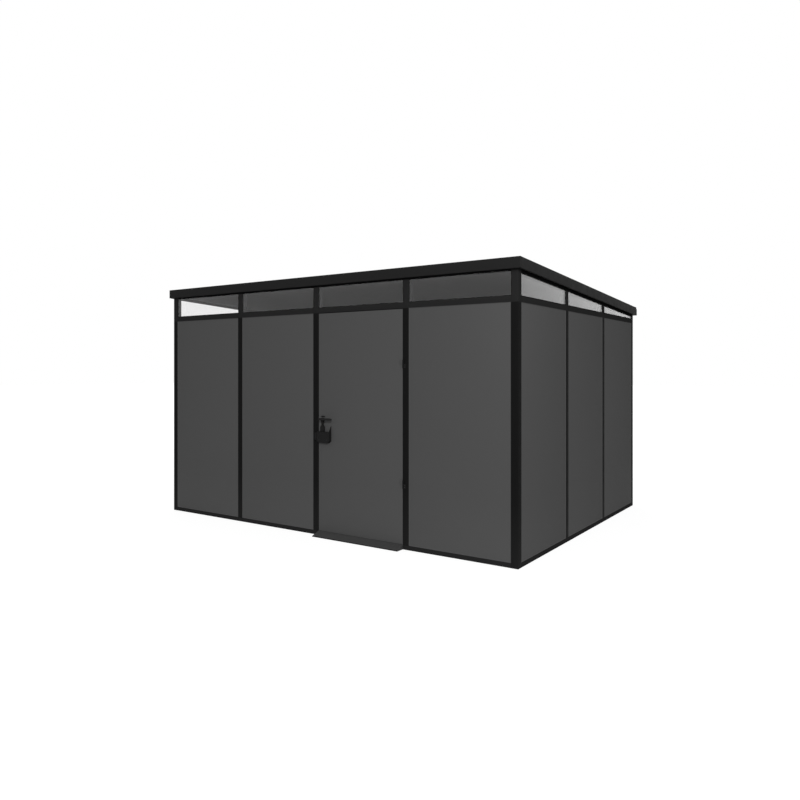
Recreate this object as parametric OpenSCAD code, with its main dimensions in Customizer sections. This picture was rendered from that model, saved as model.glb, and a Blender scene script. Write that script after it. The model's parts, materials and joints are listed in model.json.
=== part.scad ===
// Modular garden house: a flat-fronted shed of square posts, smooth wall panels,
// a band of high windows on three sides and a roof that falls to the back.
// +X runs along the front to the right, the front faces -Y, +Z is up, millimetres.
// The origin is the middle of the footprint, at ground level.

/* [Bays] */
// Distance between the centre lines of neighbouring posts
bay_pitch = 985; // [900:5:1100]

/* [Posts and rails] */
// Side of the square section of every post, which is also the depth of every rail
post_size = 60; // [55:1:80]
// Height of the base rail round the foot of the walls
base_rail_h = 39; // [30:1:80]
// Height of the underside of the transom above the ground
transom_z = 2015; // [1900:1:2100]
// Height of the transom, the rail between the wall panels and the windows
transom_h = 51; // [40:1:70]
// Height of the head rail over the front windows
front_head_h = 19; // [14:1:30]
// Height of the sloping head rails over the side windows
side_head_h = 33; // [20:1:45]

/* [Panels and glass] */
// Thickness of the wall panels
wall_t = 40; // [25:1:45]
// How far the panels and the door lie behind the faces of the posts
face_recess = 4; // [2:1:8]
// Thickness of the window panes
glass_t = 6; // [4:1:8]
// How far the panes lie behind the faces of the posts
glass_recess = 5; // [4:1:20]
// Height of the side windows at their low, rear end
side_glass_low_h = 18; // [12:1:120]

/* [Roof] */
// Fall of the roof to the back, in degrees
roof_pitch = 3; // [1.5:0.1:5]
// Thickness of the roof panels
roof_t = 60; // [40:1:66]
// How far the roof stands out from the walls at the front and the sides
eaves_out = 33; // [28:1:80]
// How far the roof stands out from the back wall
back_eaves_out = 38; // [28:1:80]
// Height of the fascia boards
fascia_h = 86; // [78:1:114]
// Thickness of the fascia boards
fascia_t = 20; // [12:1:24]
// How far the fascia boards hang below the underside of the roof panels
fascia_drop = 9; // [3:1:12]
// Width of the joint strips between the roof panels
seam_w = 30; // [20:1:50]
// How far the joint strips stand above the roof panels
seam_up = 8; // [4:1:10]

/* [Floor] */
// How far the floor lies below the top of the base rail
floor_step = 4; // [2:1:10]

/* [Door] */
// Thickness of the door leaf
door_t = 40; // [30:1:45]
// Clearance of the leaf at its hinge side, top, bottom and back
door_gap = 5; // [5:0.5:7]
// Clearance of the leaf at its lock side
latch_gap = 7; // [7:0.5:9]
// Width of the stop strips behind the leaf
stop_w = 15; // [12:1:20]
// Depth of the stop strips
stop_d = 10; // [6:1:12]

/* [Hinges] */
// Height of the middle of the lower hinge above the ground
low_hinge_z = 545; // [300:5:700]
// Height of the middle of the upper hinge above the ground
high_hinge_z = 1550; // [1200:5:1700]
// Height of one hinge
hinge_h = 70; // [60:1:100]
// Radius of the hinge knuckles
knuckle_r = 6.5; // [6:0.5:9]
// Radius of the hinge pins
hinge_pin_r = 3.5; // [3:0.5:5]
// Width of the hinge plates
hinge_plate_w = 24; // [20:1:40]
// Height of the hinge plates above the faces of the posts
hinge_plate_t = 3; // [2.5:0.5:4]

/* [Lock and lever] */
// Height of the lever's axis above the ground
lever_z = 1057; // [950:1:1150]
// Distance from the lock edge of the leaf to the lever's axis
lever_inset = 47; // [44:1:80]
// Length of the lever from its axis to its tip
lever_l = 138; // [100:1:150]
// Height and depth of the lever's square bar
lever_bar = 20; // [12:1:22]
// Distance from the door's face to the middle of the lever's bar
lever_out = 50; // [48:1:65]
// Radius of the lever's hub
hub_r = 9; // [8:0.5:14]
// Radius of the spindle that the lever turns on
spindle_r = 5; // [4:0.5:6]
// Width of the lock case
case_w = 144; // [120:1:160]
// Height of the lock case
case_h = 100; // [80:1:120]
// Depth of the lock case
case_d = 34; // [26:1:35]
// Distance from the lever's axis down to the top of the lock case
case_drop = 115; // [105:1:130]
// Size of the cut at the lock case's lower corners
case_corner = 18; // [6:1:20]
// Height of the tapered cheek above the lock case
cheek_h = 58; // [30:1:70]
// Thickness of the cheek
cheek_t = 3; // [3:0.5:8]
// Depth of the rose, the waisted plate that the lever turns in
rose_d = 18; // [16:1:24]
// Half the width of the rose at the lever
rose_top_w = 17; // [14:1:40]
// Half the width of the rose at its waist
rose_waist_w = 5; // [4:1:14]
// Half the width of the rose where it meets the lock case
rose_foot_w = 21; // [14:1:36]
// Width of the keeper on the post
keeper_w = 20; // [16:1:28]
// Height of the keeper
keeper_h = 64; // [40:1:80]

/* [Ramp] */
// How far the ramp stands out from the wall
ramp_out = 85; // [60:1:200]
// Height of the ramp's front lip
ramp_lip_h = 8; // [4:1:20]

/* [Hidden] */

// Bay counts and the bay that holds the door, counted from the left
front_bays = 4;
side_bays = 3;
door_bay = 2;

// Fits and fillers
seat_gap = 0.2;
pin_clear = 0.05;
knuckle_clear = 1;
wing_clear = 0.5;
hinge_axial_clear = 0.3;
rose_clear = 2;
corner_clear = 1;
end_clear = 2;
cut_over = 1;
case_over = 2;
keeper_up = 6;
round_fn = 64;

// Walls
wall_width = front_bays * bay_pitch + post_size;
wall_depth = side_bays * bay_pitch + post_size;
half_w = wall_width / 2;
half_d = wall_depth / 2;
bay_clear = bay_pitch - post_size;
transom_top = transom_z + transom_h;
floor_t = base_rail_h - floor_step;

// Roof: its underside is a plane through the top of the side windows' head rails
slope = tan(roof_pitch);
low_glass_y = half_d - post_size;
function roof_under(y) = transom_top + side_glass_low_h + side_head_h + slope * (low_glass_y - y);
front_rail_z = roof_under(-half_d) - front_head_h;
front_glass_top = front_rail_z - seat_gap;
roof_front_y = -half_d - eaves_out;
roof_back_y = half_d + back_eaves_out;
roof_half_w = half_w + eaves_out;
front_fascia_z = roof_under(roof_front_y) - fascia_drop;
back_fascia_z = roof_under(roof_back_y) - fascia_drop;

// Door: the leaf fills its bay but for its clearances
door_x0 = -half_w + door_bay * bay_pitch + post_size;
door_x1 = door_x0 + bay_clear;
leaf_x0 = door_x0 + latch_gap;
leaf_x1 = door_x1 - door_gap;
leaf_z0 = base_rail_h + door_gap;
leaf_z1 = transom_z - door_gap;
leaf_face_y = -half_d + face_recess;
leaf_back_y = leaf_face_y + door_t;

// Hinges: the pin stands in front of the post, beside the gap to the leaf
hinge_x = door_x1 + knuckle_r;
hinge_y = -half_d - knuckle_r - knuckle_clear;
hinge_half_h = (hinge_h - hinge_axial_clear) / 2;
plate_face_y = -half_d - hinge_plate_t;

// Lever and lock, on the leaf
lever_x = leaf_x0 + lever_inset;
lever_y = leaf_face_y - lever_out;
case_x0 = leaf_x0 - case_over;
case_top_z = lever_z - case_drop;
rose_up = hub_r - end_clear;
rose_shoulder = 13;
rose_waist_z = -50;
rose_flare_z = -72;
cover_w = 50;
cover_h = 13;
cover_d = 6;
cover_up = 21;

// Posts stand at multiples of the pitch from a wall's first post
function post_x(i) = -half_w + i * bay_pitch;
function post_y(i) = -half_d + i * bay_pitch;

// Colours as the pieces show them
post_black = "#1c1c1c";
rail_black = "#242424";
panel_grey = "#4b4b4b";
roof_grey = "#3c3c3c";
fascia_black = "#282828";
floor_grey = "#6a6a6a";
ramp_grey = "#3a3a3a";
lock_black = "#202020";
glass_tint = [0.6, 0.62, 0.64, 0.5];

// A box from one corner to the opposite one
module block(low, high) {
    translate(low) cube(high - low);
}

// A block whose top follows the underside of the roof, or of a rail drop below it
module block_to_roof(x0, x1, y0, y1, z0, drop = 0) {
    down = drop + seat_gap;
    translate([x0, 0, 0])
        rotate([90, 0, 90])
            linear_extrude(x1 - x0)
                polygon([
                    [y0, z0],
                    [y1, z0],
                    [y1, roof_under(y1) - down],
                    [y0, roof_under(y0) - down]
                ]);
}

// A slab that lies along the roof, from bottom to top above the roof's underside
module roof_slab(x0, x1, y0, y1, bottom, top) {
    translate([x0, 0, 0])
        rotate([90, 0, 90])
            linear_extrude(x1 - x0)
                polygon([
                    [y0, roof_under(y0) + bottom],
                    [y1, roof_under(y1) + bottom],
                    [y1, roof_under(y1) + top],
                    [y0, roof_under(y0) + top]
                ]);
}

module floor() {
    color(floor_grey)
        block([-half_w + post_size, -half_d + post_size, 0],
              [half_w - post_size, half_d - post_size, floor_t]);
}

// Base rails lie between the corner posts
module base_rail_along_x(y0) {
    color(rail_black)
        block([-half_w + post_size, y0, 0], [half_w - post_size, y0 + post_size, base_rail_h]);
}

module base_rail_along_y(x0) {
    color(rail_black)
        block([x0, -half_d + post_size, 0], [x0 + post_size, half_d - post_size, base_rail_h]);
}

module base_rail_front() { base_rail_along_x(-half_d); }
module base_rail_back() { base_rail_along_x(half_d - post_size); }
module base_rail_left() { base_rail_along_y(-half_w); }
module base_rail_right() { base_rail_along_y(half_w - post_size); }

// Corner posts run from the ground to the roof
module corner_post(x0, y0) {
    color(post_black)
        block_to_roof(x0, x0 + post_size, y0, y0 + post_size, 0);
}

module corner_post_front_left() { corner_post(-half_w, -half_d); }
module corner_post_front_right() { corner_post(half_w - post_size, -half_d); }
module corner_post_back_left() { corner_post(-half_w, half_d - post_size); }
module corner_post_back_right() { corner_post(half_w - post_size, half_d - post_size); }

// The other posts stand on the base rails
module post_in_front_wall(i) {
    color(post_black)
        block([post_x(i), -half_d, base_rail_h],
              [post_x(i) + post_size, -half_d + post_size, front_glass_top]);
}

module front_post() { post_in_front_wall(1); }
module lock_post() { post_in_front_wall(door_bay); }
module hinge_post() { post_in_front_wall(door_bay + 1); }

module back_posts() {
    color(post_black)
        for (i = [1 : front_bays - 1])
            block([post_x(i), half_d - post_size, base_rail_h],
                  [post_x(i) + post_size, half_d, transom_top]);
}

module side_posts(x0) {
    color(post_black)
        for (i = [1 : side_bays - 1])
            block_to_roof(x0, x0 + post_size, post_y(i), post_y(i) + post_size,
                          base_rail_h, side_head_h);
}

module left_posts() { side_posts(-half_w); }
module right_posts() { side_posts(half_w - post_size); }

// Wall panels fill the bays between the base rail and the transom
module front_panel(i) {
    color(panel_grey)
        block([post_x(i) + post_size, -half_d + face_recess, base_rail_h],
              [post_x(i + 1), -half_d + face_recess + wall_t, transom_z]);
}

module front_panel_left() { front_panel(0); }
module front_panel_middle() { front_panel(1); }
module front_panel_right() { front_panel(door_bay + 1); }

module back_panels() {
    color(panel_grey)
        for (i = [0 : front_bays - 1])
            block([post_x(i) + post_size, half_d - face_recess - wall_t, base_rail_h],
                  [post_x(i + 1), half_d - face_recess, transom_z]);
}

module side_panels(x0) {
    color(panel_grey)
        for (i = [0 : side_bays - 1])
            block([x0, post_y(i) + post_size, base_rail_h],
                  [x0 + wall_t, post_y(i + 1), transom_z]);
}

module left_panels() { side_panels(-half_w + face_recess); }
module right_panels() { side_panels(half_w - face_recess - wall_t); }

// Transoms run from post to post
module transom_along_x(y0) {
    color(rail_black)
        for (i = [0 : front_bays - 1])
            block([post_x(i) + post_size, y0, transom_z],
                  [post_x(i + 1), y0 + post_size, transom_top]);
}

module transom_along_y(x0) {
    color(rail_black)
        for (i = [0 : side_bays - 1])
            block([x0, post_y(i) + post_size, transom_z],
                  [x0 + post_size, post_y(i + 1), transom_top]);
}

module transom_front() { transom_along_x(-half_d); }
module transom_back() { transom_along_x(half_d - post_size); }
module transom_left() { transom_along_y(-half_w); }
module transom_right() { transom_along_y(half_w - post_size); }

// Head rails close the walls under the roof, between the corner posts
module head_rail_front() {
    color(rail_black)
        block_to_roof(-half_w + post_size, half_w - post_size,
                      -half_d, -half_d + post_size, front_rail_z);
}

module head_rail_back() {
    color(rail_black)
        block_to_roof(-half_w + post_size, half_w - post_size,
                      half_d - post_size, half_d, transom_top);
}

module head_rail_along_y(x0) {
    color(rail_black)
        roof_slab(x0, x0 + post_size, -half_d + post_size, half_d - post_size,
                  -side_head_h, -seat_gap);
}

module head_rail_left() { head_rail_along_y(-half_w); }
module head_rail_right() { head_rail_along_y(half_w - post_size); }

// Windows: four oblong panes at the front, three that taper to the back on each side
module front_windows() {
    color(glass_tint)
        for (i = [0 : front_bays - 1])
            block([post_x(i) + post_size, -half_d + glass_recess, transom_top],
                  [post_x(i + 1), -half_d + glass_recess + glass_t, front_glass_top]);
}

module side_windows(x0) {
    color(glass_tint)
        for (i = [0 : side_bays - 1])
            block_to_roof(x0, x0 + glass_t, post_y(i) + post_size, post_y(i + 1),
                          transom_top, side_head_h);
}

module left_windows() { side_windows(-half_w + glass_recess); }
module right_windows() { side_windows(half_w - glass_recess - glass_t); }

// Roof panels lie side by side, with a joint strip over each line of posts
module roof_panels() {
    panel_edge = roof_half_w - fascia_t;
    color(roof_grey)
        for (i = [0 : front_bays - 1]) {
            x0 = i == 0 ? -panel_edge : post_x(i) + (post_size + seam_w) / 2;
            x1 = i == front_bays - 1 ? panel_edge : post_x(i + 1) + (post_size - seam_w) / 2;
            roof_slab(x0, x1, roof_front_y + fascia_t, roof_back_y - fascia_t, 0, roof_t);
        }
}

module roof_seams() {
    color(fascia_black)
        for (i = [1 : front_bays - 1]) {
            x0 = post_x(i) + (post_size - seam_w) / 2;
            roof_slab(x0, x0 + seam_w, roof_front_y + fascia_t, roof_back_y - fascia_t,
                      0, roof_t + seam_up);
        }
}

// Fascia boards stand round the roof; the back one is low, so that rain runs off
module fascia_front() {
    color(fascia_black)
        block([-roof_half_w, roof_front_y, front_fascia_z],
              [roof_half_w, roof_front_y + fascia_t, front_fascia_z + fascia_h]);
}

module fascia_back() {
    color(fascia_black)
        block([-roof_half_w, roof_back_y - fascia_t, back_fascia_z],
              [roof_half_w, roof_back_y, back_fascia_z + fascia_drop + roof_t]);
}

module fascia_along_y(x0) {
    color(fascia_black)
        roof_slab(x0, x0 + fascia_t, roof_front_y + fascia_t, roof_back_y - fascia_t,
                  -fascia_drop, fascia_h - fascia_drop);
}

module fascia_left() { fascia_along_y(-roof_half_w); }
module fascia_right() { fascia_along_y(roof_half_w - fascia_t); }

// The ramp leads up to the door sill
module threshold_ramp() {
    color(ramp_grey)
        translate([door_x0, -half_d, 0])
            rotate([90, 0, 90])
                linear_extrude(bay_clear)
                    polygon([
                        [0, 0],
                        [0, base_rail_h],
                        [-ramp_out, ramp_lip_h],
                        [-ramp_out, 0]
                    ]);
}

// Stop strips behind the leaf: two on the posts and one under the transom
module door_stops() {
    stop_y0 = leaf_back_y + door_gap;
    stop_y1 = stop_y0 + stop_d;
    side_top = transom_z - stop_w - corner_clear;
    color(rail_black) {
        block([door_x0, stop_y0, base_rail_h], [door_x0 + stop_w, stop_y1, side_top]);
        block([door_x1 - stop_w, stop_y0, base_rail_h], [door_x1, stop_y1, side_top]);
        block([door_x0, stop_y0, transom_z - stop_w], [door_x1, stop_y1, transom_z]);
    }
}

module at_hinges() {
    for (z = [low_hinge_z, high_hinge_z])
        translate([hinge_x, hinge_y, z])
            children();
}

// Lower halves of the lift-off hinges, with their pins, on the post
module hinge_pins() {
    color(lock_black)
        at_hinges() {
            translate([0, 0, -hinge_h / 2]) {
                cylinder(r = knuckle_r, h = hinge_half_h, $fn = round_fn);
                translate([0, plate_face_y - hinge_y, 0])
                    cube([hinge_plate_w, hinge_plate_t, hinge_half_h]);
            }
            translate([0, 0, -hinge_h / 4])
                cylinder(r = hinge_pin_r, h = hinge_h * 3 / 4 - end_clear, $fn = round_fn);
        }
}

// Upper halves of the hinges, which turn on the pins: each has a block on the leaf
// and a thinner wing that reaches across the gap in front of the post
module door_hinges() {
    block_x = leaf_x1 - hinge_x;
    block_d = leaf_face_y - plate_face_y;
    color(lock_black)
        at_hinges()
            translate([0, 0, hinge_h / 2 - hinge_half_h])
                difference() {
                    union() {
                        cylinder(r = knuckle_r, h = hinge_half_h, $fn = round_fn);
                        translate([block_x, plate_face_y - hinge_y, 0])
                            cube([-block_x, hinge_plate_t - wing_clear, hinge_half_h]);
                        translate([block_x - hinge_plate_w, plate_face_y - hinge_y, 0])
                            cube([hinge_plate_w, block_d, hinge_half_h]);
                    }
                    translate([0, 0, -cut_over])
                        cylinder(r = hinge_pin_r + pin_clear, h = hinge_half_h + 2 * cut_over,
                                 $fn = round_fn);
                }
}

module lock_keeper() {
    keeper_mid_z = case_top_z - case_h / 2 + keeper_up;
    color(lock_black)
        block([door_x0 - keeper_w, leaf_face_y - case_d, keeper_mid_z - keeper_h / 2],
              [door_x0, -half_d, keeper_mid_z + keeper_h / 2]);
}

module door_leaf() {
    color(panel_grey)
        block([leaf_x0, leaf_face_y, leaf_z0], [leaf_x1, leaf_back_y, leaf_z1]);
}

// A flat bar with round ends, centred
module round_ended_bar(length, height) {
    square([length - height, height], center = true);
    for (side = [-1, 1])
        translate([side * (length - height) / 2, 0])
            circle(r = height / 2, $fn = round_fn);
}

// The rose: a waisted plate under the lever, and a round-ended keyhole cover above it
module lever_rose() {
    color(lock_black)
        translate([lever_x, leaf_face_y, lever_z])
            rotate([90, 0, 0]) {
                difference() {
                    linear_extrude(rose_d)
                        polygon([
                            [-rose_top_w, rose_up],
                            [-rose_top_w, -rose_shoulder],
                            [-rose_waist_w, rose_waist_z],
                            [-rose_foot_w, rose_flare_z],
                            [-rose_foot_w, -case_drop],
                            [rose_foot_w, -case_drop],
                            [rose_foot_w, rose_flare_z],
                            [rose_waist_w, rose_waist_z],
                            [rose_top_w, -rose_shoulder],
                            [rose_top_w, rose_up]
                        ]);
                    translate([0, 0, -cut_over])
                        cylinder(r = spindle_r + pin_clear, h = rose_d + 2 * cut_over, $fn = round_fn);
                }
                translate([0, cover_up, 0])
                    linear_extrude(cover_d)
                        round_ended_bar(cover_w, cover_h);
            }
}

// The lock case, with a tapered cheek over its right side
module lock_case() {
    color(lock_black)
        translate([case_x0, leaf_face_y, case_top_z]) {
            rotate([90, 0, 0])
                linear_extrude(case_d)
                    polygon([
                        [0, 0],
                        [0, case_corner - case_h],
                        [case_corner, -case_h],
                        [case_w - case_corner, -case_h],
                        [case_w, case_corner - case_h],
                        [case_w, 0]
                    ]);
            translate([case_w - cheek_t, 0, 0])
                rotate([90, 0, 90])
                    linear_extrude(cheek_t)
                        polygon([[0, -cut_over], [0, cheek_h], [-case_d, 0], [-case_d, -cut_over]]);
        }
}

// The lever and its spindle, which ends inside the rose
module door_lever() {
    spindle_in = rose_d - end_clear;
    hub_l = lever_out + lever_bar / 2 - rose_d - rose_clear;
    color(lock_black)
        translate([lever_x, lever_y, lever_z]) {
            translate([0, lever_bar / 2 - lever_bar, 0])
                rotate([-90, 0, 0]) {
                    cylinder(r = hub_r, h = hub_l, $fn = round_fn);
                    cylinder(r = spindle_r, h = hub_l + rose_clear + spindle_in, $fn = round_fn);
                }
            translate([0, -lever_bar / 2, -lever_bar / 2])
                cube([lever_l - lever_bar / 2, lever_bar, lever_bar]);
            translate([lever_l - lever_bar / 2, -lever_bar / 2, 0])
                rotate([-90, 0, 0])
                    cylinder(r = lever_bar / 2, h = lever_bar, $fn = round_fn);
        }
}

floor();
base_rail_front();
base_rail_back();
base_rail_left();
base_rail_right();
corner_post_front_left();
corner_post_front_right();
corner_post_back_left();
corner_post_back_right();
front_post();
lock_post();
hinge_post();
back_posts();
left_posts();
right_posts();
front_panel_left();
front_panel_middle();
front_panel_right();
back_panels();
left_panels();
right_panels();
transom_front();
transom_back();
transom_left();
transom_right();
head_rail_front();
head_rail_back();
head_rail_left();
head_rail_right();
front_windows();
left_windows();
right_windows();
roof_panels();
roof_seams();
fascia_front();
fascia_back();
fascia_left();
fascia_right();
threshold_ramp();
door_stops();
hinge_pins();
lock_keeper();
door_leaf();
door_hinges();
lever_rose();
lock_case();
door_lever();
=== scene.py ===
# %% [markdown]
# # Modular garden house
# The house is a kit: square posts stand on a base rail, smooth wall panels fill the bays,
# a band of windows runs under the roof on three sides, and one bay holds the door.
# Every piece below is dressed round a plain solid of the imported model, which gives its place,
# so this lesson starts by loading that model and never measures anything twice.

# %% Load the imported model
import json
import math

import bmesh
import bpy
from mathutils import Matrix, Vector


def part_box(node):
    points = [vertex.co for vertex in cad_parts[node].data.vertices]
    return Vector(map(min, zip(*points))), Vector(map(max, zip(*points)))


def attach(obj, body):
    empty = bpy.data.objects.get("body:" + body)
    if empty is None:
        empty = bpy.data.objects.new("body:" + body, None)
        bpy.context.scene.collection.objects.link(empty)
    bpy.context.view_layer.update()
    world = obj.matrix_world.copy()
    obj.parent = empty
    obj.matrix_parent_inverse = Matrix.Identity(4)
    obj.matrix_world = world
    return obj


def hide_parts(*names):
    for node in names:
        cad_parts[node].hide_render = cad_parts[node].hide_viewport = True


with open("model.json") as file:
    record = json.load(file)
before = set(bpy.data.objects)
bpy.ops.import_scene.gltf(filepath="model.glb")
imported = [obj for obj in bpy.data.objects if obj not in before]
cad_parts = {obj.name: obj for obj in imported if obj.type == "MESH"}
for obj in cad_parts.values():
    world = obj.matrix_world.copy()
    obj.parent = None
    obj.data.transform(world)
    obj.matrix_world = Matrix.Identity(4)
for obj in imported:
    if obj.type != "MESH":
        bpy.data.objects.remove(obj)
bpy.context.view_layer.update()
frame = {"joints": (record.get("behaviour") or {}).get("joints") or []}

# %% [markdown]
# ## Measures
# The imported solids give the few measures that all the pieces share: the size of a post, the
# distance between posts, the heights of the rails and the slope of the roof. Reading them from
# the solids means that the dressing still fits when the house is made longer or taller.

# %% Shared measures, in metres
MM = 0.001
post_low, post_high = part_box("corner_post_front_left")
post = post_high.x - post_low.x
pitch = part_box("front_post")[0].x - post_low.x
west, south = post_low.x, post_low.y
east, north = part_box("corner_post_back_right")[1].xy
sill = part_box("base_rail_front")[1].z
transom_low, transom_top = (corner.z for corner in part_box("transom_front"))
front_bays = round((east - west - post) / pitch)
side_bays = round((north - south - post) / pitch)
print(f"posts {post / MM:.0f} mm square and {pitch / MM:.0f} mm apart")
print(f"{front_bays} by {side_bays} bays")

# %% Roof slope, read from the side fascia
LEFT_RAIL_CUT = 15 * MM
fascia_low, fascia_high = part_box("fascia_left")
front_fascia_low, front_fascia_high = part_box("fascia_front")
fascia_h = front_fascia_high.z - front_fascia_low.z
slope = (fascia_high.z - fascia_low.z - fascia_h) / (fascia_high.y - fascia_low.y)
roof_low, roof_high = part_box("roof_panels")


def roof_under(y):
    """Height of the underside of the roof at a distance along the fall."""
    return roof_low.z + slope * (roof_high.y - y)


side_rail_low, side_rail_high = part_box("head_rail_left")
side_head_h = roof_under(side_rail_high.y) - side_rail_low.z
HEAD_H = {"left": side_head_h - LEFT_RAIL_CUT, "right": side_head_h}
print(f"the roof falls {math.degrees(math.atan(slope)):.2f} degrees to the back")


# %% [markdown]
# ## Making shapes
# Nearly every part of such a kit is a section pushed through a die or a sheet cut to an outline.
# Blender could make both with curves and modifiers, but a loft between rings of points covers
# them with one small function: two rings make a bar, a few inset rings make a plate with rounded
# edges, and a closed run of rings makes a frame with mitred corners.

# %% Rings of points
PLANES = {"x": (1, 2, 0), "y": (0, 2, 1), "z": (0, 1, 2)}


def ring(outline, along, distance, rise=None):
    """Set a flat outline across an axis, at a distance along it, lifted by rise(y)."""
    u_axis, v_axis, w_axis = PLANES[along]
    points = []
    for u, v in outline:
        point = [0.0, 0.0, 0.0]
        point[u_axis], point[v_axis], point[w_axis] = u, v, distance
        if rise:
            point[2] += rise(point[1])
        points.append(point)
    return points


def loft(bm, rings, finish=0, closed=False):
    """Join rings of points by strips of faces, and cap the ends unless the run is closed."""
    rows = [[bm.verts.new(point) for point in points] for points in rings]
    pairs = list(zip(rows, rows[1:]))
    if closed:
        pairs.append((rows[-1], rows[0]))
    faces = [] if closed else [bm.faces.new(rows[0]), bm.faces.new(rows[-1])]
    for one, other in pairs:
        for i in range(len(one)):
            faces.append(bm.faces.new((one[i - 1], one[i], other[i], other[i - 1])))
    for face in faces:
        face.material_index = finish


print("rings can cross these axes:", *PLANES)


# %% Outlines: rectangles, circles, rounded corners and insets
LONGEST_CURVE = 0.48


def oblong(u0, u1, v0, v1):
    return [(u0, v0), (u1, v0), (u1, v1), (u0, v1)]


def circle(u, v, radius, sides=16):
    turns = [2 * math.pi * (i + 0.5) / sides for i in range(sides)]
    return [(u + radius * math.cos(a), v + radius * math.sin(a)) for a in turns]


def rounded(outline, radius, steps=3):
    """Swap each corner of a closed outline for a short curve."""
    made = []
    for i, corner in enumerate(outline):
        corner = Vector(corner)
        back = Vector(outline[i - 1]) - corner
        ahead = Vector(outline[(i + 1) % len(outline)]) - corner
        reach = radius / math.tan(back.angle(ahead) / 2)
        start = corner + back.normalized() * min(reach, LONGEST_CURVE * back.length)
        end = corner + ahead.normalized() * min(reach, LONGEST_CURVE * ahead.length)
        for step in range(steps + 1):
            t = step / steps
            made.append(start * (1 - t) ** 2 + corner * 2 * t * (1 - t) + end * t * t)
    return made


def inset(outline, width):
    """Move every side of a closed outline inwards by the same width."""
    points = [Vector(point) for point in outline]
    turned = sum(points[i - 1].cross(points[i]) for i in range(len(points)))
    side = math.copysign(1, turned)
    made = []
    for i, point in enumerate(points):
        before = (point - points[i - 1]).normalized()
        after = (points[(i + 1) % len(points)] - point).normalized()
        normals = Vector((-before.y, before.x)), Vector((-after.y, after.x))
        share = side * width / (1 + normals[0].dot(normals[1]))
        made.append(point + (normals[0] + normals[1]) * share)
    return made


print("a rounded square has", len(rounded(oblong(0, 1, 0, 1), 0.1)), "points")


# %% Bars, plates and frames
def bar(bm, outline, along, start, end, finish=0, rise=None):
    """A section of one outline from start to end."""
    loft(bm, [ring(outline, along, w, rise) for w in (start, end)], finish)


def eased(back, front, radius, steps=3):
    """Inset and distance of each ring of a plate whose front edge is rounded."""
    sign = math.copysign(1, front - back)
    turns = [math.pi / 2 * i / steps for i in range(steps + 1)]
    arc = [(radius * (1 - math.cos(a)), front - sign * radius * (1 - math.sin(a))) for a in turns]
    return [(0, back)] + arc


def plate(bm, outline, section, along, finish=0, corner=0.0, steps=3):
    """A solid plate: each entry of the section is an inset and a distance along the axis."""
    rings = []
    for d, w in section:
        edge = inset(outline, d)
        if corner:
            edge = rounded(edge, max(corner - d, corner / 3), steps)
        rings.append(ring(edge, along, w))
    loft(bm, rings, finish)


def moulding(bm, outline, section, along, finish=0):
    """A mitred frame: the section is closed on itself and runs round the outline."""
    loft(bm, [ring(inset(outline, d), along, w) for d, w in section], finish, True)


print("an eased edge takes", len(eased(0, 1, 0.1)), "rings")


# %% Screws
SCREW_SIDES = 12
SCREW_SECTION = ((0, 0), (0.05, 0.3), (0.3, 0.55), (0.52, 0.6), (0.56, 0.2))


def screw(bm, place, along, outwards, radius, finish=0):
    """A pan-head screw with a round recess, seated on a face at the given place."""
    u_axis, v_axis, w_axis = PLANES[along]
    base = place[w_axis]
    section = [(d * radius, base + outwards * h * radius) for d, h in SCREW_SECTION]
    head = circle(place[u_axis], place[v_axis], radius, SCREW_SIDES)
    plate(bm, head, section, along, finish)


print("a screw has", len(SCREW_SECTION), "rings of", SCREW_SIDES, "points")


# %% Finish a mesh as a piece of the house
SHARP = math.radians(35)


def piece(name, bm, finishes, body, slot, *replaced):
    """Turn a mesh under construction into an object that rides on a body."""
    bmesh.ops.recalc_face_normals(bm, faces=bm.faces)
    mesh = bpy.data.meshes.new(name)
    bm.to_mesh(mesh)
    bm.free()
    for finish in finishes:
        mesh.materials.append(finish)
    mesh.shade_smooth()
    mesh.set_sharp_from_angle(angle=SHARP)
    made = bpy.data.objects.new(name, mesh)
    bpy.context.scene.collection.objects.link(made)
    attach(made, body)
    if replaced:
        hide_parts(*replaced)
    print(f"{name}: {len(mesh.polygons)} faces")


def dress(node_name, bm, finishes, slot):
    """Finish a mesh as the dressed form of a fixed node of the same name."""
    piece("dressed_" + node_name, bm, finishes, "house", slot, node_name)


# %% [markdown]
# ## Camera
# The eye stands at head height off the right-hand corner and looks level, so that upright posts
# stay upright. A level camera puts the horizon in the middle of the picture; the lens is shifted
# instead of tilted to bring the whole front into view.

# %% Camera
EYE = (4.217, -6.362, 1.503)
HEADING = math.radians(34.126)
LENS = 31.514
LENS_SHIFT = -0.0381
SENSOR_W = 36
camera_data = bpy.data.cameras.new("camera")
camera_data.lens = LENS
camera_data.sensor_width = SENSOR_W
camera_data.shift_y = LENS_SHIFT
camera = bpy.data.objects.new("camera", camera_data)
camera.location = EYE
camera.rotation_euler = (math.pi / 2, 0, HEADING)
bpy.context.scene.collection.objects.link(camera)
bpy.context.scene.camera = camera
print("camera", EYE, "lens", LENS)

# %% [markdown]
# ## Light
# The key lamp stands off the front right-hand corner, and its light comes in low, at less than
# twenty degrees. Seen from the house it is small, so its shadows are crisp, and because it is low
# they fall behind the lever and the lock and stay short. It stands a few house-lengths away, so
# its light fades a little along the walls as it would in a studio. A weak, broad lamp behind
# keeps the back wall readable, and a small one close to that corner lifts the tops of the two
# walls that meet there. The lamps stay out of the picture, and the world fills the rest.

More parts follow.
